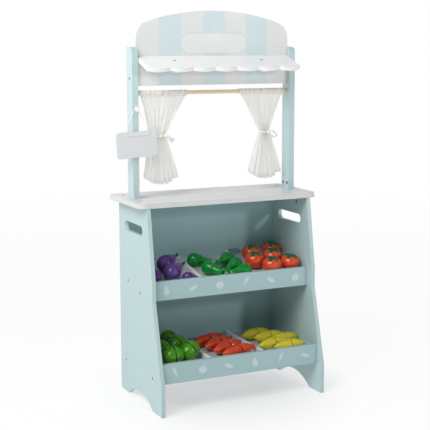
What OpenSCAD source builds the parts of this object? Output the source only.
// Toy market stall: a flat-pack cabinet with two produce shelves under a counter,
// two posts with an arched header, a scalloped awning and a curtain rod,
// tied curtains, a sign hung on a peg and wooden play produce in the bins.

/* [Side panels] */
// Width across the outer faces of the two side panels
body_w = 550; // [520:1:620]
// Thickness of a side panel
panel_t = 12; // [10:0.5:18]
// Height of a side panel
panel_h = 605; // [560:1:680]
// Depth of a side panel at its top
panel_top_d = 230; // [215:1:260]
// Depth of a side panel beside the upper lip
panel_mid_d = 266; // [262:1:300]
// Depth of a side panel at the floor
panel_foot_d = 330; // [322:1:380]
// Height of the upright front edge above the floor
foot_face_h = 90; // [70:1:92]
// Radius where the front edge changes direction
edge_blend_r = 60; // [10:1:80]
// Depth of the rear foot
rear_foot_d = 63; // [40:1:80]
// Depth of the front foot
front_foot_d = 70; // [45:1:90]
// Height of the arch between the feet
arch_h = 34; // [20:1:50]
// Length of the hand slot
slot_l = 145; // [100:1:150]
// Height of the hand slot
slot_h = 30; // [24:1:40]
// From the top of the panel to the middle of the hand slot
slot_drop = 73; // [60:1:100]

/* [Countertop] */
// Overhang of the countertop outside each side panel
counter_side = 25; // [5:1:55]
// Thickness of the countertop
counter_t = 15; // [12:1:22]
// Overhang behind the side panels
counter_back = 20; // [5:1:40]
// Overhang in front of the side panels' top
counter_front = 3; // [0:1:30]
// Radius of the front corners
counter_front_r = 25; // [5:1:60]
// Radius of the back corners
counter_back_r = 10; // [4:1:30]

/* [Posts] */
// Width of a post
post_w = 19; // [17:1:26]
// Depth of a post
post_d = 45; // [40:1:60]
// Height of a post above the countertop
post_h = 452; // [420:1:520]
// From the side panels' back edge to the posts' back face
post_setback = 82; // [70:1:100]
// Radius of the posts' front top corner
post_round_r = 20; // [6:1:30]

/* [Header board] */
// Height of the header board at its middle
header_h = 223; // [205:1:260]
// Thickness of the header board
header_t = 12; // [10:0.5:16]
// Height of the header's crown above the tops of the posts
header_rise = 108; // [90:1:140]
// Radius of the header's arched top
header_arch_r = 725; // [600:5:1200]
// Radius of the header's shoulders
header_shoulder_r = 50; // [20:1:70]

/* [Awning] */
// Gap between the awning's ends and the posts
awning_end_gap = 2; // [0.5:0.5:6]
// Length of the awning board from the header to the tips of its scallops
awning_l = 103; // [90:1:130]
// Thickness of the awning board
awning_t = 12; // [9:0.5:16]
// Slope of the awning
awning_tilt = 20; // [10:1:25]
// Number of scallops along the front edge
scallops = 7; // [5:1:9]
// Depth of a scallop
scallop_d = 11; // [6:1:18]
// From the header's crown down to the awning's back edge
awning_drop = 135; // [125:1:150]
// Width of an awning bracket
bracket_w = 18; // [14:1:30]
// Reach of an awning bracket
bracket_l = 52; // [48:1:70]
// Height of an awning bracket at the header
bracket_h = 36; // [32:1:44]
// Height of an awning bracket at its front end
bracket_tip_h = 18; // [16:1:24]
// From the middle of the stall to the middle of a bracket
bracket_x = 146; // [90:1:200]

/* [Curtain rod] */
// Diameter of the rod
rod_d = 12; // [10:0.5:14]
// From the header's lower edge down to the rod's axis
rod_drop = 22; // [18:1:40]
// Depth of the sockets that hold the rod's ends
rod_socket = 8; // [5:1:12]

/* [Curtains] */
// Gap between the gathered top of a curtain and its post
curtain_post_gap = 10; // [4:1:30]
// Width of a curtain gathered on the rod
curtain_top_w = 158; // [140:1:170]
// Width of a curtain where it is tied
curtain_waist_w = 46; // [40:1:60]
// Width of a curtain across its hem
curtain_hem_w = 114; // [90:1:130]
// From the rod's axis to the lowest point of the hem
curtain_drop = 276; // [250:1:290]
// From the lowest point of the hem up to its corners
hem_rise = 24; // [5:1:40]
// From the rod's axis to the tie
tie_drop = 129; // [115:1:150]
// How far the tied waist lies towards the post from the middle of the top
waist_shift = 18; // [0:1:30]
// Folds across a curtain
folds = 7; // [5:1:8]
// Thickness of the gathered cloth
cloth_t = 1.6; // [1.2:0.1:3]
// Depth of the folds at the hem, from the middle
hem_fold_d = 11; // [6:1:14]
// Width of the tie's ribbon
ribbon_w = 7; // [5:1:12]
// Thickness of the tie's ribbon
ribbon_t = 1.6; // [1:0.1:3]

/* [Shelves] */
// Thickness of a shelf
shelf_t = 12; // [9:0.5:16]
// Thickness of a lip
lip_t = 12; // [10:0.5:16]
// Thickness of the back panel
back_t = 12; // [9:0.5:16]
// Thickness of a divider
divider_t = 9; // [6:0.5:12]
// Height of a divider above its shelf
divider_h = 15; // [10:0.5:20]
// Height of the upper lip
upper_lip_h = 58; // [50:1:70]
// Height of the lower lip
lower_lip_h = 61; // [50:1:70]
// Height of the upper lip's lower edge above the floor
upper_lip_z = 329; // [310:1:345]
// Height of the lower lip's lower edge above the floor
lower_lip_z = 92; // [92:1:110]
// From the panels' front edge back to the upper lip's face
upper_lip_inset = 25; // [10:1:30]
// From the panels' front edge back to the lower lip's face
lower_lip_inset = 24; // [18:1:40]
// From the upper lip's top down to the bin's floor
upper_bin_d = 27; // [20:1:30]
// From the lower lip's top down to the bin's floor
lower_bin_d = 23; // [20:1:32]
// Slope of the upper shelf, down to the front
upper_tilt = 10.5; // [6:0.5:12]
// Width of a cleat under a shelf
cleat_w = 15; // [13:1:24]
// Height of a cleat
cleat_h = 32; // [24:1:36]
// Distance between the two screws of an upper cleat, as a share of its shelf's depth
upper_cleat_share = 0.46; // [0.34:0.01:0.54]
// Distance between the two screws of a lower cleat, as a share of its shelf's depth
lower_cleat_share = 0.77; // [0.55:0.01:0.79]
// From a cleat's end to its screw
cleat_end = 22; // [12:1:26]

/* [Sign] */
// Width of the hanging sign
sign_w = 128; // [110:1:140]
// Height of the hanging sign
sign_h = 78; // [66:1:90]
// Thickness of the hanging sign
sign_t = 6; // [5:0.5:6.5]
// Radius of the sign's corners
sign_r = 10; // [3:1:20]
// Tilt at which the sign hangs
sign_tilt = 3; // [2:0.5:4]
// Diameter of the sign's two cord holes
sign_hole_d = 5; // [4.8:0.1:6]
// From the tops of the posts down to the peg
peg_drop = 183; // [150:1:210]
// Diameter of the peg's neck
peg_d = 6; // [5:0.1:6]
// Length of the peg's neck in front of the post
peg_l = 11; // [10.5:0.5:14]
// Diameter of the peg's knob
knob_d = 13; // [11:0.5:18]
// Depth of the peg's tenon in the post
peg_tenon = 14; // [10:1:20]
// From the post's face to the middle of the sign's thickness
sign_standoff = 6; // [5.9:0.1:6.1]
// Diameter of the sign's cord
cord_d = 2; // [1.6:0.1:2.1]

/* [Produce] */
// Diameter of a tomato, as a share of its bin's width
tomato_share = 0.366; // [0.32:0.002:0.368]
// Height of a tomato, as a share of its diameter
tomato_squat = 0.904; // [0.78:0.002:0.96]
// Length of a lime, as a share of its bin's width
lime_l_share = 0.42; // [0.37:0.002:0.428]
// Greatest diameter of a lime, as a share of its bin's width
lime_d_share = 0.336; // [0.3:0.002:0.342]
// Length of an eggplant without its stalk, as a share of its bin's width
eggplant_l_share = 0.46; // [0.42:0.002:0.466]
// Greatest diameter of an eggplant, as a share of its bin's width
eggplant_d_share = 0.318; // [0.28:0.002:0.322]
// Length of a green pepper, as a share of its bin's width
pepper_l_share = 0.47; // [0.42:0.002:0.474]
// Greatest diameter of a green pepper, as a share of its bin's width
pepper_d_share = 0.258; // [0.22:0.002:0.26]
// Length of a carrot without its two nubs, as a share of its bin's width
carrot_l_share = 0.66; // [0.58:0.002:0.664]
// Greatest diameter of a carrot, as a share of its bin's width
carrot_d_share = 0.226; // [0.2:0.002:0.236]
// Length of a lemon without its two nubs, as a share of its bin's width
lemon_l_share = 0.61; // [0.54:0.002:0.614]
// Greatest diameter of a lemon, as a share of its bin's width
lemon_d_share = 0.23; // [0.2:0.002:0.234]
// Width and depth of the groove where a piece comes apart in two
cut_groove_w = 1.6; // [1:0.1:2.4]

/* [Fasteners] */
// Diameter of the counter bolts and the cam bolts
bolt_d = 6; // [5:0.5:6]
// Diameter of a counter bolt's head
bolt_head_d = 11; // [9:0.5:12]
// Length of a counter bolt
bolt_l = 42; // [38:1:50]
// From the back edge of the panels to the rear counter bolts
rear_bolt_y = 26; // [18:1:40]
// From the back edge of the panels to the front counter bolts
front_bolt_y = 166; // [145:1:190]
// Diameter of the barrel nuts and cam locks
nut_d = 10; // [9:0.5:12]
// From a mating face to the axis of a barrel nut or cam lock
nut_setback = 20; // [16:1:24]
// Length of a barrel nut or cam lock
nut_l = 10; // [9.5:0.5:10.5]
// Distance between the two cam bolts of a post
cam_pitch = 25; // [20:1:28]
// How deep a cam bolt goes into the countertop
cam_bolt_depth = 10; // [7:1:11]
// Diameter of a wood screw
screw_d = 4; // [3:0.5:4.5]
// Diameter of a wood screw's head
screw_head_d = 8; // [6.5:0.5:9]
// Length of a cleat screw
cleat_screw_l = 24; // [20:1:25]
// Length of a header screw
header_screw_l = 40; // [32:1:50]
// Length of an awning screw
awning_screw_l = 24; // [20:1:26]
// From the header along the awning to its screws
awning_screw_s = 38; // [30:1:42]
// Length of a bracket screw
bracket_screw_l = 26; // [20:1:30]
// Distance between the two screws of a bracket
bracket_screw_pitch = 15; // [12:1:18]
// Length of a back panel screw
back_screw_l = 26; // [20:1:27]
// From the middle of the stall to the outer back panel screws
back_screw_x = 170; // [100:1:220]
// Diameter of a dowel
dowel_d = 6; // [5:0.5:7]
// Length of a dowel
dowel_l = 20; // [17:1:28]
// Depth of a dowel in the outer board
dowel_seat = 7; // [5:0.5:8]
// Distance between the two dowels of a lip's end
lip_dowel_pitch = 30; // [20:1:36]
// From a header board's lower edge to its screws
header_screw_z = 22; // [14:1:40]
// From a header board's lower edge to its dowels
header_dowel_z = 70; // [50:1:95]
// Clearance round pegs, dowels, screws and bolts
fit = 0.15; // [0.1:0.05:0.3]
// Gap under pieces that lie loose and round the rod
rest_gap = 0.3; // [0.2:0.05:0.4]

/* [Hidden] */
$fn = 64;

// Places in the stall's own frame: x from the middle plane, y from the panels' back edge, z from the floor
eps = 0.5;
inner_x = body_w / 2 - panel_t;
counter_w = body_w + 2 * counter_side;
counter_z = panel_h + counter_t;
counter_front_y = -panel_top_d - counter_front;
bolt_x = body_w / 2 - panel_t / 2;

post_x = body_w / 2 - post_w / 2;
post_inner_x = body_w / 2 - post_w;
post_front_y = -post_setback - post_d;
post_mid_y = -post_setback - post_d / 2;
post_top_z = counter_z + post_h;

header_w = 2 * post_inner_x;
header_top_z = post_top_z + header_rise;
header_z = header_top_z - header_h;
header_front_y = post_mid_y - header_t / 2;
header_back_y = post_mid_y + header_t / 2;
awning_z = header_top_z - awning_drop;
awning_w = header_w - 2 * awning_end_gap;
awning_drop_t = awning_t / cos(awning_tilt);
rod_z = header_z - rod_drop;

upper_lip_y = -panel_mid_d + upper_lip_inset;
lower_lip_y = -panel_foot_d + lower_lip_inset;
upper_lip_back_y = upper_lip_y + lip_t;
lower_lip_back_y = lower_lip_y + lip_t;
upper_floor_z = upper_lip_z + upper_lip_h - upper_bin_d;
lower_floor_z = lower_lip_z + lower_lip_h - lower_bin_d;
shelf_w = 2 * inner_x;
bins = 3;
bin_w = (shelf_w - (bins - 1) * divider_t) / bins;
divider_x = bin_w / 2 + divider_t / 2;
bin_mid_x = bin_w + divider_t;
upper_rise = tan(upper_tilt);
upper_drop_t = shelf_t / cos(upper_tilt);
// Height of the upper shelf's top at a place y
function upper_top(y) = upper_floor_z + (y - upper_lip_back_y) * upper_rise;
// The produce is sized and laid out by its bin: the bin's width, or a share of its length where that is less
upper_bin_l = (-back_t - upper_lip_back_y) / cos(upper_tilt);
lower_bin_l = -back_t - lower_lip_back_y;
upper_unit = min(bin_w, 0.8 * upper_bin_l);
lower_unit = min(bin_w, 0.62 * lower_bin_l);
tomato_d = tomato_share * upper_unit;
tomato_h = tomato_squat * tomato_d;
lime_l = lime_l_share * lower_unit;
lime_d = lime_d_share * lower_unit;
eggplant_l = eggplant_l_share * upper_unit;
eggplant_d = eggplant_d_share * upper_unit;
pepper_l = pepper_l_share * upper_unit;
pepper_d = pepper_d_share * upper_unit;
carrot_l = carrot_l_share * lower_unit;
carrot_d = carrot_d_share * lower_unit;
lemon_l = lemon_l_share * lower_unit;
lemon_d = lemon_d_share * lower_unit;
upper_cleat_y = (upper_lip_back_y - back_t) / 2;
lower_cleat_y = (lower_lip_back_y - back_t) / 2;
upper_cleat_pitch = upper_cleat_share * (-back_t - upper_lip_back_y);
lower_cleat_pitch = lower_cleat_share * lower_bin_l;

peg_x = -post_x;
peg_z = post_top_z - peg_drop;
sign_drop = 104;
sign_y = post_front_y - sign_standoff;
sign_z = peg_z - sign_drop;
sign_hole_x = 42;
sign_hole_z = 28;

// The stall stands with the middle of its overall box over the origin, the sign's overhang included
sign_left_x = peg_x - sign_r - (sign_w / 2 - sign_r) * cos(sign_tilt)
    - (sign_h / 2 - sign_r) * sin(sign_tilt);
origin_x = -(counter_w / 2 + min(sign_left_x, -counter_w / 2)) / 2;
origin_y = (panel_foot_d - counter_back) / 2;
module placed() {
    translate([origin_x, origin_y, 0]) children();
}

// Shared shapes

// Stands an outline of forward depth and height on edge, with its thickness towards -x from x
module upright(x, t) {
    translate([x, 0, 0]) rotate([90, 0, -90]) linear_extrude(t) children();
}

// The waste of a square corner outside its round, with the corner at the origin
module corner_waste(r) {
    difference() {
        translate([-eps, -eps]) square(r + eps);
        translate([r, r]) circle(r);
    }
}

// Points of a round of radius r at corner b between a and c
function round_points(a, b, c, r, steps = 8) =
    let (u = (a - b) / norm(a - b))
    let (v = (c - b) / norm(c - b))
    let (half = acos(u * v) / 2)
    let (middle = b + (u + v) / norm(u + v) * r / sin(half))
    let (start = b + u * r / tan(half) - middle)
    let (stop = b + v * r / tan(half) - middle)
    [for (i = [0 : steps])
        let (k = i / steps)
        let (d = start * sin((1 - k) * (180 - 2 * half)) + stop * sin(k * (180 - 2 * half)))
        middle + d / sin(180 - 2 * half)];

// A countersunk screw or bolt pointing down from z = 0; grow widens it into its own hole
module screw(l, d = screw_d, head_d = screw_head_d, grow = 0) {
    head_h = (head_d - d) / 2;
    translate([0, 0, -l - grow]) cylinder(d = d + 2 * grow, h = l - head_h + grow + fit);
    translate([0, 0, -head_h]) cylinder(d1 = d + 2 * grow, d2 = head_d + 2 * grow, h = head_h);
    if (grow > 0) cylinder(d = head_d + 2 * grow, h = eps);
}

// Mirrors its children onto both sides of the stall
module both_sides() {
    children();
    mirror([1, 0, 0]) children();
}

// Side panels

module panel_outline() {
    floor_front = [panel_foot_d, 0];
    foot_top = [panel_foot_d, foot_face_h];
    waist_low = [panel_mid_d, upper_lip_z];
    waist_high = [panel_mid_d, upper_lip_z + upper_lip_h];
    top_front = [panel_top_d, panel_h];
    arch_w = panel_foot_d - rear_foot_d - front_foot_d;
    arch_r = (arch_w * arch_w / 4 + arch_h * arch_h) / (2 * arch_h);
    slot_mid = (panel_top_d + (panel_mid_d - panel_top_d) * slot_drop / (panel_h - waist_high[1])) / 2;
    difference() {
        polygon(concat([[0, 0], floor_front],
            round_points(floor_front, foot_top, waist_low, edge_blend_r),
            round_points(foot_top, waist_low, waist_high, edge_blend_r),
            round_points(waist_low, waist_high, top_front, edge_blend_r),
            [top_front, [0, panel_h]]));
        translate([rear_foot_d + arch_w / 2, arch_h - arch_r]) circle(arch_r, $fn = 128);
        translate([slot_mid, panel_h - slot_drop]) {
            square([slot_l - slot_h, slot_h], center = true);
            for (s = [-1, 1]) translate([s * (slot_l - slot_h) / 2, 0]) circle(d = slot_h);
        }
    }
}

// The right panel with its bores; the left one is its mirror image
module side_panel() {
    difference() {
        upright(body_w / 2, panel_t) panel_outline();
        at_counter_bolts() screw(bolt_l, bolt_d, bolt_head_d, fit);
        at_barrel_nuts() cylinder(d = nut_d + 2 * fit, h = nut_l + fit);
        at_cleat_screws() screw(cleat_screw_l, grow = fit);
        at_lip_dowels() dowel(fit);
    }
}
module left_side_panel() {
    color("#c8d9d8") mirror([1, 0, 0]) side_panel();
}
module right_side_panel() {
    color("#c8d9d8") side_panel();
}

module back_panel() {
    color("#9fbcbc") difference() {
        translate([-inner_x, -back_t, lower_lip_z]) cube([shelf_w, back_t, panel_h - lower_lip_z]);
        at_back_screws() screw(back_screw_l, grow = fit);
    }
}

// Countertop

module counter_outline() {
    d = counter_back - counter_front_y;
    difference() {
        translate([-counter_w / 2, counter_front_y]) square([counter_w, d]);
        for (s = [0, 1]) mirror([s, 0]) {
            translate([-counter_w / 2, counter_front_y]) corner_waste(counter_front_r);
            translate([-counter_w / 2, counter_back]) mirror([0, 1]) corner_waste(counter_back_r);
        }
    }
}
module countertop() {
    color("#e4e4e3") difference() {
        translate([0, 0, panel_h]) linear_extrude(counter_t) counter_outline();
        both_sides() at_counter_bolts() screw(bolt_l, bolt_d, bolt_head_d, fit);
        both_sides() at_cam_bolts() cam_bolt(fit);
    }
}

// Posts

// The right post with its bores; the left one is its mirror image
module post() {
    difference() {
        translate([0, -post_setback, counter_z]) upright(body_w / 2, post_w) difference() {
            square([post_d, post_h]);
            translate([post_d, post_h]) rotate(180) corner_waste(post_round_r);
        }
        at_cam_bolts() cam_bolt(fit);
        at_cam_locks() cylinder(d = nut_d + 2 * fit, h = nut_l + fit);
        at_header_screws() screw(header_screw_l, grow = fit);
        at_header_dowels() dowel(fit);
        translate([0, post_mid_y, rod_z]) rotate([0, 90, 0])
            cylinder(d = rod_d + 2 * fit, h = rod_end_x + fit);
    }
}
module left_post() {
    color("#cfe3e6") difference() {
        mirror([1, 0, 0]) post();
        at_peg() translate([0, 0, -peg_tenon - fit]) cylinder(d = peg_d + 2 * fit, h = peg_tenon + eps);
    }
}
module right_post() {
    color("#cfe3e6") post();
}

// Header board, awning and rod

module header_outline() {
    half_w = header_w / 2;
    arch_z = header_h - header_arch_r;
    shoulder_x = half_w - header_shoulder_r;
    reach = header_arch_r - header_shoulder_r;
    shoulder = [shoulder_x, arch_z + sqrt(reach * reach - shoulder_x * shoulder_x)];
    lean = acos(shoulder_x / reach);
    difference() {
        intersection() {
            translate([-half_w, 0]) square([header_w, header_h]);
            translate([0, arch_z]) circle(header_arch_r, $fn = 256);
        }
        for (s = [0, 1]) mirror([s, 0]) translate(shoulder) difference() {
            polygon([[0, 0], [header_w, 0], [header_w, header_w], header_w * [cos(lean), sin(lean)]]);
            circle(header_shoulder_r);
        }
    }
}
module header_board() {
    color("#dfe8e9") difference() {
        translate([0, header_back_y, header_z]) rotate([90, 0, 0]) linear_extrude(header_t) header_outline();
        both_sides() at_header_screws() screw(header_screw_l, grow = fit);
        both_sides() at_header_dowels() dowel(fit);
        both_sides() at_bracket_screws() screw(bracket_screw_l, grow = fit);
    }
}

// The board runs back past the header's face, where it is trimmed upright
module awning_outline() {
    pitch = awning_w / scallops;
    lobe_r = (pitch * pitch / 4 + scallop_d * scallop_d) / (2 * scallop_d);
    intersection() {
        translate([-awning_w / 2, -awning_t / 2]) square([awning_w, awning_l + awning_t]);
        union() {
            translate([-awning_w, -awning_t]) square([2 * awning_w, awning_l + awning_t - scallop_d - eps]);
            for (i = [0 : scallops - 1]) translate([(i + 0.5) * pitch - awning_w / 2, awning_l - lobe_r])
                circle(lobe_r);
        }
    }
}
// Places its children on the awning's upper face, with -y down the slope
module on_awning() {
    translate([0, header_front_y, awning_z]) rotate([awning_tilt, 0, 0]) children();
}
module awning_board() {
    color("#f2f2f0") difference() {
        on_awning() translate([0, 0, -awning_t]) linear_extrude(awning_t) mirror([0, 1]) awning_outline();
        translate([-header_w / 2, header_front_y, header_z]) cube([header_w, header_t + awning_t, header_h]);
        both_sides() at_awning_screws() screw(awning_screw_l, grow = fit);
    }
}
module awning_brackets() {
    top = awning_z - awning_drop_t;
    tip = top - bracket_l * tan(awning_tilt);
    color("#f2f2f0") both_sides() difference() {
        translate([0, header_front_y, 0]) upright(bracket_x + bracket_w / 2, bracket_w)
            polygon([[0, top], [0, top - bracket_h], [bracket_l, tip - bracket_tip_h], [bracket_l, tip]]);
        at_awning_screws() screw(awning_screw_l, grow = fit);
        at_bracket_screws() screw(bracket_screw_l, grow = fit);
    }
}

rod_end_x = post_inner_x + rod_socket;
module curtain_rod() {
    color("#dec6a5") translate([-rod_end_x, post_mid_y, rod_z]) rotate([0, 90, 0])
        cylinder(d = rod_d, h = 2 * rod_end_x);
}

// Shelves, lips, dividers and cleats

module upper_shelf() {
    front = -upper_lip_back_y;
    color("#e8e8e6") difference() {
        upright(inner_x, shelf_w) polygon([[back_t, upper_top(-back_t)], [front, upper_floor_z],
            [front, upper_floor_z - upper_drop_t], [back_t, upper_top(-back_t) - upper_drop_t]]);
        at_back_screws() screw(back_screw_l, grow = fit);
    }
}
module lower_shelf() {
    color("#e8e8e6") difference() {
        translate([-inner_x, lower_lip_back_y, lower_floor_z - shelf_t])
            cube([shelf_w, -back_t - lower_lip_back_y, shelf_t]);
        at_back_screws() screw(back_screw_l, grow = fit);
    }
}

module lip(y, z, h) {
    color("#9bb6b8") difference() {
        translate([-inner_x, y, z]) cube([shelf_w, lip_t, h]);
        both_sides() at_lip_dowels() dowel(fit);
    }
}
module upper_lip() {
    lip(upper_lip_y, upper_lip_z, upper_lip_h);
}
module lower_lip() {
    lip(lower_lip_y, lower_lip_z, lower_lip_h);
}

module upper_divider(side) {
    front = -upper_lip_back_y;
    back_z = upper_top(-back_t);
    color("#f0f0ee") upright(side * divider_x + divider_t / 2, divider_t) polygon([[back_t, back_z],
        [front, upper_floor_z], [front, upper_floor_z + divider_h], [back_t, back_z + divider_h]]);
}
module lower_divider(side) {
    color("#f0f0ee") translate([side * divider_x - divider_t / 2, lower_lip_back_y, lower_floor_z])
        cube([divider_t, -back_t - lower_lip_back_y, divider_h]);
}
module upper_left_divider() {
    upper_divider(-1);
}
module upper_right_divider() {
    upper_divider(1);
}
module lower_left_divider() {
    lower_divider(-1);
}
module lower_right_divider() {
    lower_divider(1);
}

module upper_cleats() {
    half_l = upper_cleat_pitch / 2 + cleat_end;
    a = upper_top(upper_cleat_y + half_l) - upper_drop_t;
    b = upper_top(upper_cleat_y - half_l) - upper_drop_t;
    color("#9fbcbc") both_sides() difference() {
        upright(inner_x, cleat_w) polygon([[-upper_cleat_y - half_l, a], [-upper_cleat_y + half_l, b],
            [-upper_cleat_y + half_l, b - cleat_h], [-upper_cleat_y - half_l, a - cleat_h]]);
        at_cleat_screws() screw(cleat_screw_l, grow = fit);
    }
}
module lower_cleats() {
    half_l = lower_cleat_pitch / 2 + cleat_end;
    color("#9fbcbc") both_sides() difference() {
        translate([inner_x - cleat_w, lower_cleat_y - half_l, lower_floor_z - shelf_t - cleat_h])
            cube([cleat_w, 2 * half_l, cleat_h]);
        at_cleat_screws() screw(cleat_screw_l, grow = fit);
    }
}

// Fasteners, placed by the same modules that place their holes; each is for the right side

module at_counter_bolts() {
    for (y = [rear_bolt_y, front_bolt_y]) translate([bolt_x, -y, counter_z]) children();
}
module at_barrel_nuts() {
    for (y = [rear_bolt_y, front_bolt_y])
        translate([inner_x, -y, panel_h - nut_setback]) rotate([0, 90, 0]) children();
}
module at_cam_bolts() {
    for (s = [-1, 1]) translate([post_x, post_mid_y + s * cam_pitch / 2, counter_z]) children();
}
module at_cam_locks() {
    for (s = [-1, 1]) translate([post_inner_x, post_mid_y + s * cam_pitch / 2, counter_z + nut_setback])
        rotate([0, 90, 0]) children();
}
module at_header_screws() {
    translate([body_w / 2, post_mid_y, header_z + header_screw_z]) rotate([0, 90, 0]) children();
}
module at_header_dowels() {
    translate([post_inner_x + dowel_seat, post_mid_y, header_z + header_dowel_z])
        rotate([0, 90, 0]) children();
}
module at_awning_screws() {
    on_awning() translate([bracket_x, -awning_screw_s, 0]) children();
}
module at_bracket_screws() {
    mid = awning_z - awning_drop_t - bracket_h / 2;
    for (s = [-1, 1]) translate([bracket_x, header_back_y, mid + s * bracket_screw_pitch / 2])
        rotate([-90, 0, 0]) children();
}
module at_cleat_screws() {
    drop = cleat_h / 2;
    for (s = [-1, 1]) {
        y = upper_cleat_y + s * upper_cleat_pitch / 2;
        translate([body_w / 2, y, upper_top(y) - upper_drop_t - drop]) rotate([0, 90, 0]) children();
        translate([body_w / 2, lower_cleat_y + s * lower_cleat_pitch / 2, lower_floor_z - shelf_t - drop])
            rotate([0, 90, 0]) children();
    }
}
module at_lip_dowels() {
    for (s = [-1, 1]) {
        translate([inner_x + dowel_seat, upper_lip_y + lip_t / 2, upper_lip_z + upper_lip_h / 2
            + s * lip_dowel_pitch / 2]) rotate([0, 90, 0]) children();
        translate([inner_x + dowel_seat, lower_lip_y + lip_t / 2, lower_lip_z + lower_lip_h / 2
            + s * lip_dowel_pitch / 2]) rotate([0, 90, 0]) children();
    }
}
// These lie on both sides and in the middle
module at_back_screws() {
    for (x = [-back_screw_x, 0, back_screw_x]) {
        translate([x, 0, upper_top(-back_t) - upper_drop_t / 2]) rotate([-90, 0, 0]) children();
        translate([x, 0, lower_floor_z - shelf_t / 2]) rotate([-90, 0, 0]) children();
    }
}
module at_peg() {
    translate([peg_x, post_front_y, peg_z]) rotate([90, 0, 0]) children();
}

// A dowel whose outer end is at z = 0
module dowel(grow = 0) {
    translate([0, 0, -dowel_l - grow]) cylinder(d = dowel_d + 2 * grow, h = dowel_l + 2 * grow);
}
// A cam bolt stands in the countertop's top face and ends in the cam lock's slot
module cam_bolt(grow = 0) {
    translate([0, 0, -cam_bolt_depth - grow])
        cylinder(d = bolt_d + 2 * grow, h = cam_bolt_depth + nut_setback + nut_d / 4 + 2 * grow);
}
// A barrel nut or cam lock with the cross hole of its bolt at a depth
module barrel_nut(depth) {
    difference() {
        cylinder(d = nut_d, h = nut_l);
        translate([-nut_d, 0, depth]) rotate([0, 90, 0]) cylinder(d = bolt_d + 2 * fit, h = 2 * nut_d);
    }
}

module counter_bolts() {
    color("#4a4d50") both_sides() at_counter_bolts() screw(bolt_l, bolt_d, bolt_head_d);
}
module barrel_nuts() {
    color("#4a4d50") both_sides() at_barrel_nuts() barrel_nut(panel_t / 2);
}
module cam_bolts() {
    color("#8a8d90") both_sides() at_cam_bolts() cam_bolt();
}
module cam_locks() {
    color("#4a4d50") both_sides() at_cam_locks() barrel_nut(post_w / 2);
}
module header_screws() {
    color("#4a4d50") both_sides() at_header_screws() screw(header_screw_l);
}
module header_dowels() {
    color("#dec6a5") both_sides() at_header_dowels() dowel();
}
module awning_screws() {
    color("#4a4d50") both_sides() at_awning_screws() screw(awning_screw_l);
}
module bracket_screws() {
    color("#4a4d50") both_sides() at_bracket_screws() screw(bracket_screw_l);
}
module cleat_screws() {
    color("#4a4d50") both_sides() at_cleat_screws() screw(cleat_screw_l);
}
module lip_dowels() {
    color("#dec6a5") both_sides() at_lip_dowels() dowel();
}
module back_screws() {
    color("#4a4d50") at_back_screws() screw(back_screw_l);
}
module sign_peg() {
    color("#f2f2f0") at_peg() {
        translate([0, 0, -peg_tenon]) cylinder(d = peg_d, h = peg_tenon + peg_l + knob_d / 2);
        translate([0, 0, peg_l + knob_d / 3]) intersection() {
            sphere(d = knob_d);
            cylinder(d = knob_d, h = 2 * knob_d / 3, center = true);
        }
    }
}

// Curtains: one sheet that runs over the rod in a pocket and down in folds to its hem

pocket_r = rod_d / 2 + rest_gap + cloth_t;
pocket_ruffle = 2.4;
pocket_start = -70;
pocket_step = 40;
pocket_rows = 8;
fall_rows = 12;
fold_steps = 4;
sheet_rows = pocket_rows + fall_rows;
sheet_cols = folds * fold_steps;
waist_fold_d = 6;
top_fold_d = 6;
waist_cloth_t = 6;
curtain_top_x = -post_inner_x + curtain_post_gap + curtain_top_w / 2;
curtain_waist_x = curtain_top_x - waist_shift;
seam_drop = pocket_r + 6;

// Eases from 0 to 1
function ease(k) = (1 - cos(180 * k)) / 2;
// Depth below the rod's axis of a fall row, closer together round the tie
function fall(k) =
    k < 0.5 ? seam_drop + (tie_drop - seam_drop) * sin(180 * k)
    : tie_drop + (curtain_drop - tie_drop) * (1 - cos(180 * (k - 0.5)));
// Share of the way from the rod to the tie, and from the tie to the hem
function above_tie(d) = max(0, 1 - d / tie_drop);
function below_tie(d) = max(0, (d - tie_drop) / (curtain_drop - tie_drop));
function width_at(d) = curtain_waist_w + (curtain_top_w - curtain_waist_w) * pow(above_tie(d), 0.9)
    + (curtain_hem_w - curtain_waist_w) * pow(below_tie(d), 0.8);
function middle_at(d) = curtain_waist_x + (curtain_top_x - curtain_waist_x) * ease(above_tie(d))
    + waist_shift / 2 * ease(below_tie(d));
function fold_at(d) = waist_fold_d + (top_fold_d - waist_fold_d) * above_tie(d)
    + (hem_fold_d - waist_fold_d) * below_tie(d);
function thickness_at(d) = cloth_t + (waist_cloth_t - cloth_t) * max(0, 1 - abs(d - tie_drop) / 40);

// A point of the sheet at column i and row j; side is -1 on its face and 1 on its back
function sheet_point(i, j, side) =
    let (u = i / sheet_cols)
    let (wave = sin(360 * folds * u))
    j < pocket_rows ?
        let (angle = pocket_start + j * pocket_step)
        let (clear_r = (rod_d / 2 + rest_gap) / cos(pocket_step / 2))
        let (r = clear_r + pocket_ruffle * (1 + wave) / 2 + (1 - side) * cloth_t / 2)
        [curtain_top_x + (u - 0.5) * curtain_top_w, post_mid_y + r * cos(angle), rod_z + r * sin(angle)]
    :
        let (d = fall((j - pocket_rows) / (fall_rows - 1)))
        let (lift = hem_rise * pow(2 * u - 1, 2) * pow(below_tie(d), 2))
        [middle_at(d) + (u - 0.5) * width_at(d),
            post_mid_y + wave * fold_at(d) * min(1, d / tie_drop + 0.3) + side * thickness_at(d) / 2,
            rod_z - d + lift];

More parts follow.
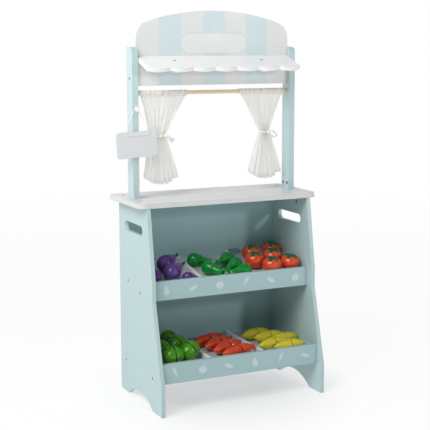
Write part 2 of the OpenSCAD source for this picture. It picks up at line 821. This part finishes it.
// A closed solid between the two sides of the sheet
module sheet() {
    row = sheet_cols + 1;
    side_n = row * sheet_rows;
    points = [for (side = [-1, 1], j = [0 : sheet_rows - 1], i = [0 : sheet_cols]) sheet_point(i, j, side)];
    function at(side, i, j) = side * side_n + j * row + i;
    faces = concat(
        [for (j = [0 : sheet_rows - 2], i = [0 : sheet_cols - 1]) each
            [[at(0, i, j), at(0, i + 1, j), at(0, i + 1, j + 1)],
            [at(0, i, j), at(0, i + 1, j + 1), at(0, i, j + 1)],
            [at(1, i, j), at(1, i + 1, j + 1), at(1, i + 1, j)],
            [at(1, i, j), at(1, i, j + 1), at(1, i + 1, j + 1)]]],
        [for (j = [0 : sheet_rows - 2]) each
            [[at(0, 0, j), at(0, 0, j + 1), at(1, 0, j + 1)], [at(0, 0, j), at(1, 0, j + 1), at(1, 0, j)],
            [at(0, sheet_cols, j), at(1, sheet_cols, j + 1), at(0, sheet_cols, j + 1)],
            [at(0, sheet_cols, j), at(1, sheet_cols, j), at(1, sheet_cols, j + 1)]]],
        [for (i = [0 : sheet_cols - 1]) each
            [[at(0, i, 0), at(1, i + 1, 0), at(0, i + 1, 0)], [at(0, i, 0), at(1, i, 0), at(1, i + 1, 0)],
            [at(0, i, sheet_rows - 1), at(0, i + 1, sheet_rows - 1), at(1, i + 1, sheet_rows - 1)],
            [at(0, i, sheet_rows - 1), at(1, i + 1, sheet_rows - 1), at(1, i, sheet_rows - 1)]]]);
    polyhedron(points, faces);
}
module left_curtain() {
    color("#f1f1ef") sheet();
}
module right_curtain() {
    color("#f1f1ef") mirror([1, 0, 0]) sheet();
}

// Ties: a ribbon round the waist with a knot in front, two tails and, on the right, a bow loop

tie_hug_y = waist_fold_d + waist_cloth_t / 2 + rest_gap;
tie_half_x = curtain_waist_w / 2 - 2;
knot_d = 11;
tail_l = 26;
module stadium(r) {
    square([2 * tie_half_x, 2 * r], center = true);
    for (s = [-1, 1]) translate([s * tie_half_x, 0]) circle(r);
}
module tie_band() {
    translate([0, 0, -ribbon_w / 2]) linear_extrude(ribbon_w) difference() {
        stadium(tie_hug_y + ribbon_t);
        stadium(tie_hug_y);
    }
}
module tie_knot() {
    translate([0, -tie_hug_y - ribbon_t - knot_d / 4, 0]) intersection() {
        sphere(d = knot_d);
        translate([-knot_d, -knot_d, -knot_d]) cube([2 * knot_d, knot_d * 1.25, 2 * knot_d]);
    }
}
// A flat strip of ribbon that leaves the knot at an angle from straight down
module tail(angle, l) {
    translate([0, -tie_hug_y - ribbon_t - knot_d / 4, 0]) rotate([0, angle, 0])
        translate([-ribbon_w / 2, -ribbon_t / 2, -l]) cube([ribbon_w, ribbon_t, l]);
}
// A flat loop of ribbon beside the knot
module bow_loop(angle) {
    loop_d = 22;
    translate([0, -tie_hug_y - ribbon_t - knot_d / 4, 0]) rotate([0, angle, 0]) translate([0, 0, -loop_d / 2])
        rotate([90, 0, 0]) difference() {
            cylinder(d = loop_d, h = ribbon_w / 2, center = true);
            cylinder(d = loop_d - 4 * ribbon_t, h = ribbon_w, center = true);
        }
}
module at_tie(x) {
    translate([x, post_mid_y, rod_z - tie_drop]) children();
}
module left_curtain_tie() {
    color("#f1f1ef") at_tie(curtain_waist_x) {
        tie_band();
        translate([tie_half_x, 0, 0]) {
            tie_knot();
            tail(-35, tail_l);
            tail(-65, tail_l);
        }
    }
}
module right_curtain_tie() {
    color("#f1f1ef") at_tie(-curtain_waist_x) {
        tie_band();
        translate([tie_half_x, 0, 0]) {
            tie_knot();
            bow_loop(-75);
            tail(-20, tail_l);
        }
    }
}

// Sign: a board on a cord that is tied over the peg

// Places its children in the sign's own frame, with the middle of the board at the origin
module in_sign() {
    translate([peg_x, sign_y, sign_z]) rotate([0, -sign_tilt, 0]) children();
}
module sign_outline() {
    difference() {
        square([sign_w, sign_h], center = true);
        for (s = [0, 1], t = [0, 1]) mirror([s, 0]) mirror([0, t])
            translate([-sign_w / 2, -sign_h / 2]) corner_waste(sign_r);
        for (s = [-1, 1]) translate([s * sign_hole_x, sign_hole_z]) circle(d = sign_hole_d);
    }
}
module sign_board() {
    color("#ececea") in_sign() rotate([90, 0, 0]) translate([0, 0, -sign_t / 2]) linear_extrude(sign_t)
        sign_outline();
}

// The cord's route in the sign's frame: from the knot down behind the board, through the left hole,
// across the face, back through the right hole and up to the knot
cord_route = [[3, 0, 111], [0, 0, 108], [-2, 0.5, 101], [-7, 1.5, 92], [-16, 3, 77], [-26, 4.2, 61],
    [-35, 4.4, 46], [-40.4, 4.6, 37], [-42, 4.6, 31.4], [-42, 3, 28.5], [-42, 0, 28], [-41.4, -2.8, 28],
    [-39.6, -4.2, 28], [-36, -4.5, 28], [-18, -4.5, 27.5], [0, -4.5, 27.4], [18, -4.5, 27.5], [36, -4.5, 28],
    [39.6, -4.2, 28], [41.4, -2.8, 28], [42, 0, 28], [42, 3, 28.5], [42, 4.6, 31.4], [41.2, 4.6, 37],
    [38, 4.4, 46], [31, 4.2, 61], [24, 3, 77], [17, 1.5, 92], [13, 0.5, 101], [11, 0, 108], [8, 0, 111]];
cord_steps = 2;
cord_sides = 8;
function route_point(i) = cord_route[max(0, min(len(cord_route) - 1, i))];
// A point of the smooth curve through the route, k of the way from point i to the next
function curve_point(i, k) =
    let (a = route_point(i - 1), b = route_point(i), c = route_point(i + 1), d = route_point(i + 2))
    (2 * b + (c - a) * k + (2 * a - 5 * b + 4 * c - d) * k * k + (3 * b - a - 3 * c + d) * k * k * k) / 2;
cord_line = concat(
    [for (i = [0 : len(cord_route) - 2], s = [0 : cord_steps - 1]) curve_point(i, s / cord_steps)],
    [cord_route[len(cord_route) - 1]]);
function unit(v) = v / norm(v);
function line_way(i) =
    unit(cord_line[min(len(cord_line) - 1, i + 1)] - cord_line[max(0, i - 1)]);
// A direction across the line at point i that turns with it
function line_side(i) = i == 0 ? unit(cross(line_way(0), [0, 1, 0]))
    : let (s = line_side(i - 1)) unit(s - (s * line_way(i)) * line_way(i));
module sign_cord() {
    rings = len(cord_line);
    points = [for (i = [0 : rings - 1])
        let (s = line_side(i), t = cross(line_way(i), s))
        for (k = [0 : cord_sides - 1])
            let (a = 360 * k / cord_sides)
            cord_line[i] + (s * cos(a) + t * sin(a)) * cord_d / 2];
    function at(i, k) = i * cord_sides + k % cord_sides;
    faces = concat(
        [for (k = [1 : cord_sides - 2]) [0, k, k + 1]],
        [for (k = [1 : cord_sides - 2]) [at(rings - 1, 0), at(rings - 1, k + 1), at(rings - 1, k)]],
        [for (i = [0 : rings - 2], k = [0 : cord_sides - 1]) each
            [[at(i, k), at(i + 1, k), at(i + 1, k + 1)], [at(i, k), at(i + 1, k + 1), at(i, k + 1)]]]);
    color("#f0ece0") in_sign() polyhedron(points, faces);
}
module sign_knot() {
    knot_r = 3.6;
    tail_reach = 12;
    color("#f0ece0") translate([peg_x, sign_y, peg_z + peg_d / 2 + rest_gap + knot_r]) {
        sphere(knot_r);
        for (a = [-28, 22]) rotate([0, a, 0]) cylinder(d = cord_d, h = tail_reach);
    }
}

// Play produce, lying loose in the bins

// Places its children on the upper shelf, at p units across from a bin's middle and up the slope from the lip
module on_upper(bin, p) {
    translate([bin * bin_mid_x + p[0] * upper_unit, upper_lip_back_y, upper_floor_z])
        rotate([upper_tilt, 0, 0]) translate([0, p[1] * upper_unit, rest_gap]) children();
}
// Places its children on the lower shelf, at p units across from a bin's middle and back from the lip
module on_lower(bin, p) {
    translate([bin * bin_mid_x + p[0] * lower_unit, lower_lip_back_y + p[1] * lower_unit,
        lower_floor_z + rest_gap]) children();
}
// Turns a revolved piece onto its side, its axis along an angle from x, resting at z = 0
module lying(angle, d) {
    translate([0, 0, d / 2]) rotate([0, 0, angle]) rotate([0, 90, 0]) children();
}
turn_steps = 14;

module tomato() {
    dimple = 0.09 * tomato_h;
    top = tomato_h / 2;
    rotate_extrude() polygon(concat([[0, 0]], [for (i = [0 : turn_steps])
        let (a = 180 * i / turn_steps)
        [tomato_d / 2 * sin(a), top - top * cos(a) - (a > 90 ? dimple * pow(-cos(a), 6) : 0)]]));
}
module tomatoes() {
    color("#d8502e") for (p = [[-0.106, 0.23], [0.307, 0.283], [-0.313, 0.543], [0.118, 0.638],
        [-0.201, 0.904], [0.278, 0.98]])
        on_upper(1, p) tomato();
}

// A body of revolution along z from a list of [radius, height], closed on its axis
module turned(profile) {
    rotate_extrude() polygon(concat([[0, profile[0][1]]], profile, [[0, profile[len(profile) - 1][1]]]));
}
// A ring to cut the groove where a piece of diameter d comes apart, at a height along its axis
module cut_groove(d, z) {
    translate([0, 0, z]) rotate_extrude() translate([d / 2, 0])
        square([2 * cut_groove_w, cut_groove_w], center = true);
}

module lime() {
    difference() {
        turned([for (i = [0 : turn_steps])
            let (a = 180 * i / turn_steps)
            [lime_d / 2 * sin(a) + 0.01, -lime_l / 2 * cos(a)]]);
        cut_groove(lime_d, 0);
    }
}
// Height of the middle of a lime whose axis leans up by an angle
function lime_mid_z(lean) = norm([lime_l / 2 * sin(lean), lime_d / 2 * cos(lean)]);
module limes() {
    color("#4fa021") for (p = [[-0.15, 0.28, 2, 0], [0.25, 0.44, 24, 22], [-0.22, 0.7, 22, 20],
        [0.19, 0.89, 26, 24], [-0.2, 1.13, 26, 20], [0.2, 1.3, 40, 10]])
        on_lower(-1, p) translate([0, 0, lime_mid_z(p[3])]) rotate([0, 90 - p[3], p[2]]) lime();
}

// Share of an eggplant's greatest radius at a place k along it, from its blunt end
function eggplant_form(k) = pow(sin(180 * pow(k, 0.8)), 0.75) * (1 - 0.3 * k) / 0.883;
module eggplant(size) {
    r = size * eggplant_d / 2;
    l = size * eggplant_l;
    stalk_l = 0.154 * l;
    difference() {
        turned([for (i = [0 : turn_steps])
            let (k = i / turn_steps)
            [r * eggplant_form(k) + 0.01, l * k - l / 2]]);
        cut_groove(2 * r * eggplant_form(0.5), 0);
    }
    translate([0, 0, l / 2 - stalk_l / 3]) cylinder(d = r / 3, h = stalk_l);
}
// Height of the middle of an eggplant whose stalk leans up by an angle
function eggplant_mid_z(lean) = max([for (i = [0 : turn_steps])
    let (k = i / turn_steps)
    eggplant_d / 2 * eggplant_form(k) * cos(lean) - eggplant_l * (k - 0.5) * sin(lean)]);
module eggplants() {
    color("#5d3a86") for (p = [[-0.335, 0.33, 91, 0, 0.8], [0.07, 0.36, 22, 20, 1], [0.315, 0.2, -12, 0, 0.6],
        [0.12, 0.78, 22, 20, 1], [-0.3, 0.86, 80, 0, 0.9]])
        on_upper(-1, p) translate([0, 0, p[4] * eggplant_mid_z(p[3])])
            rotate([0, 90 - p[3], p[2]]) eggplant(p[4]);
}

// A green pepper is rounded and wide at one end and narrows to a blunt neck at the other
module green_pepper() {
    turned([for (i = [0 : turn_steps])
        let (k = i / turn_steps)
        let (dome = sqrt(1 - pow(max(0, 1 - k / 0.25), 2)))
        let (narrowing = ease(max(0, min(1, (k - 0.3) / 0.6))))
        [pepper_d / 2 * dome * (1 - 0.56 * narrowing) + 0.01, pepper_l * (k - 0.5)]]);
}
module green_peppers() {
    color("#0f8f3f") for (p = [[-0.26, 0.84, -35], [-0.2, 0.37, -62], [0.225, 0.75, 208],
        [0.245, 0.445, 216], [0.255, 0.16, 186]])
        on_upper(0, p) lying(p[2], pepper_d) green_pepper();
}

// A carrot is pinched where it comes apart, with a knob at its thick end and a tip at the other
module carrot() {
    knob_w = 0.475 * carrot_d;
    tip_w = 0.325 * carrot_d;
    pinch_k = 0.56;
    pinch_w = 0.06;
    turned([for (i = [0 : 2 * turn_steps])
        let (k = i / (2 * turn_steps))
        [carrot_d / 2 * (0.36 + 0.64 * sqrt(max(0, sin(180 * k))))
            * (1 - 0.24 * exp(-pow((k - pinch_k) / pinch_w, 2))), carrot_l * (k - 0.5)]]);
    translate([0, 0, carrot_l / 2 + 0.2 * carrot_d]) sphere(d = knob_w);
    translate([0, 0, -carrot_l / 2 - 0.075 * carrot_d]) sphere(d = tip_w);
}
module carrots() {
    color("#d23f22") for (p = [[0.075, 0.24, 18], [0, 0.55, 27], [-0.03, 0.86, 27], [-0.12, 1.16, 24]])
        on_lower(0, p) lying(p[2], carrot_d) carrot();
}

module lemon() {
    nub_d = 0.217 * lemon_d;
    nub_l = 0.08 * lemon_d;
    difference() {
        turned([for (i = [0 : turn_steps])
            let (a = 180 * i / turn_steps)
            [lemon_d / 2 * pow(sin(a), 0.95) + 0.01, -lemon_l / 2 * cos(a)]]);
        cut_groove(lemon_d, 0);
    }
    for (s = [0, 1]) mirror([0, 0, s]) translate([0, 0, lemon_l / 2 - nub_l]) {
        cylinder(d = nub_d, h = nub_l);
        translate([0, 0, nub_l]) cylinder(d1 = nub_d, d2 = nub_d / 2, h = nub_l);
    }
}
module lemons() {
    color("#e0d52c") for (p = [[0.04, 0.135, -2], [-0.165, 0.37, 4], [0.165, 0.6, 4], [-0.01, 0.845, -3],
        [-0.15, 1.11, 5]])
        on_lower(1, p) lying(p[2], lemon_d) lemon();
}

placed() left_side_panel();
placed() right_side_panel();
placed() back_panel();
placed() countertop();
placed() left_post();
placed() right_post();
placed() header_board();
placed() awning_board();
placed() awning_brackets();
placed() curtain_rod();
placed() upper_shelf();
placed() lower_shelf();
placed() upper_lip();
placed() lower_lip();
placed() upper_left_divider();
placed() upper_right_divider();
placed() lower_left_divider();
placed() lower_right_divider();
placed() upper_cleats();
placed() lower_cleats();
placed() sign_peg();
placed() counter_bolts();
placed() barrel_nuts();
placed() cam_bolts();
placed() cam_locks();
placed() header_screws();
placed() header_dowels();
placed() awning_screws();
placed() bracket_screws();
placed() cleat_screws();
placed() lip_dowels();
placed() back_screws();
placed() left_curtain();
placed() left_curtain_tie();
placed() right_curtain();
placed() right_curtain_tie();
placed() sign_board();
placed() sign_cord();
placed() sign_knot();
placed() eggplants();
placed() green_peppers();
placed() tomatoes();
placed() limes();
placed() carrots();
placed() lemons();
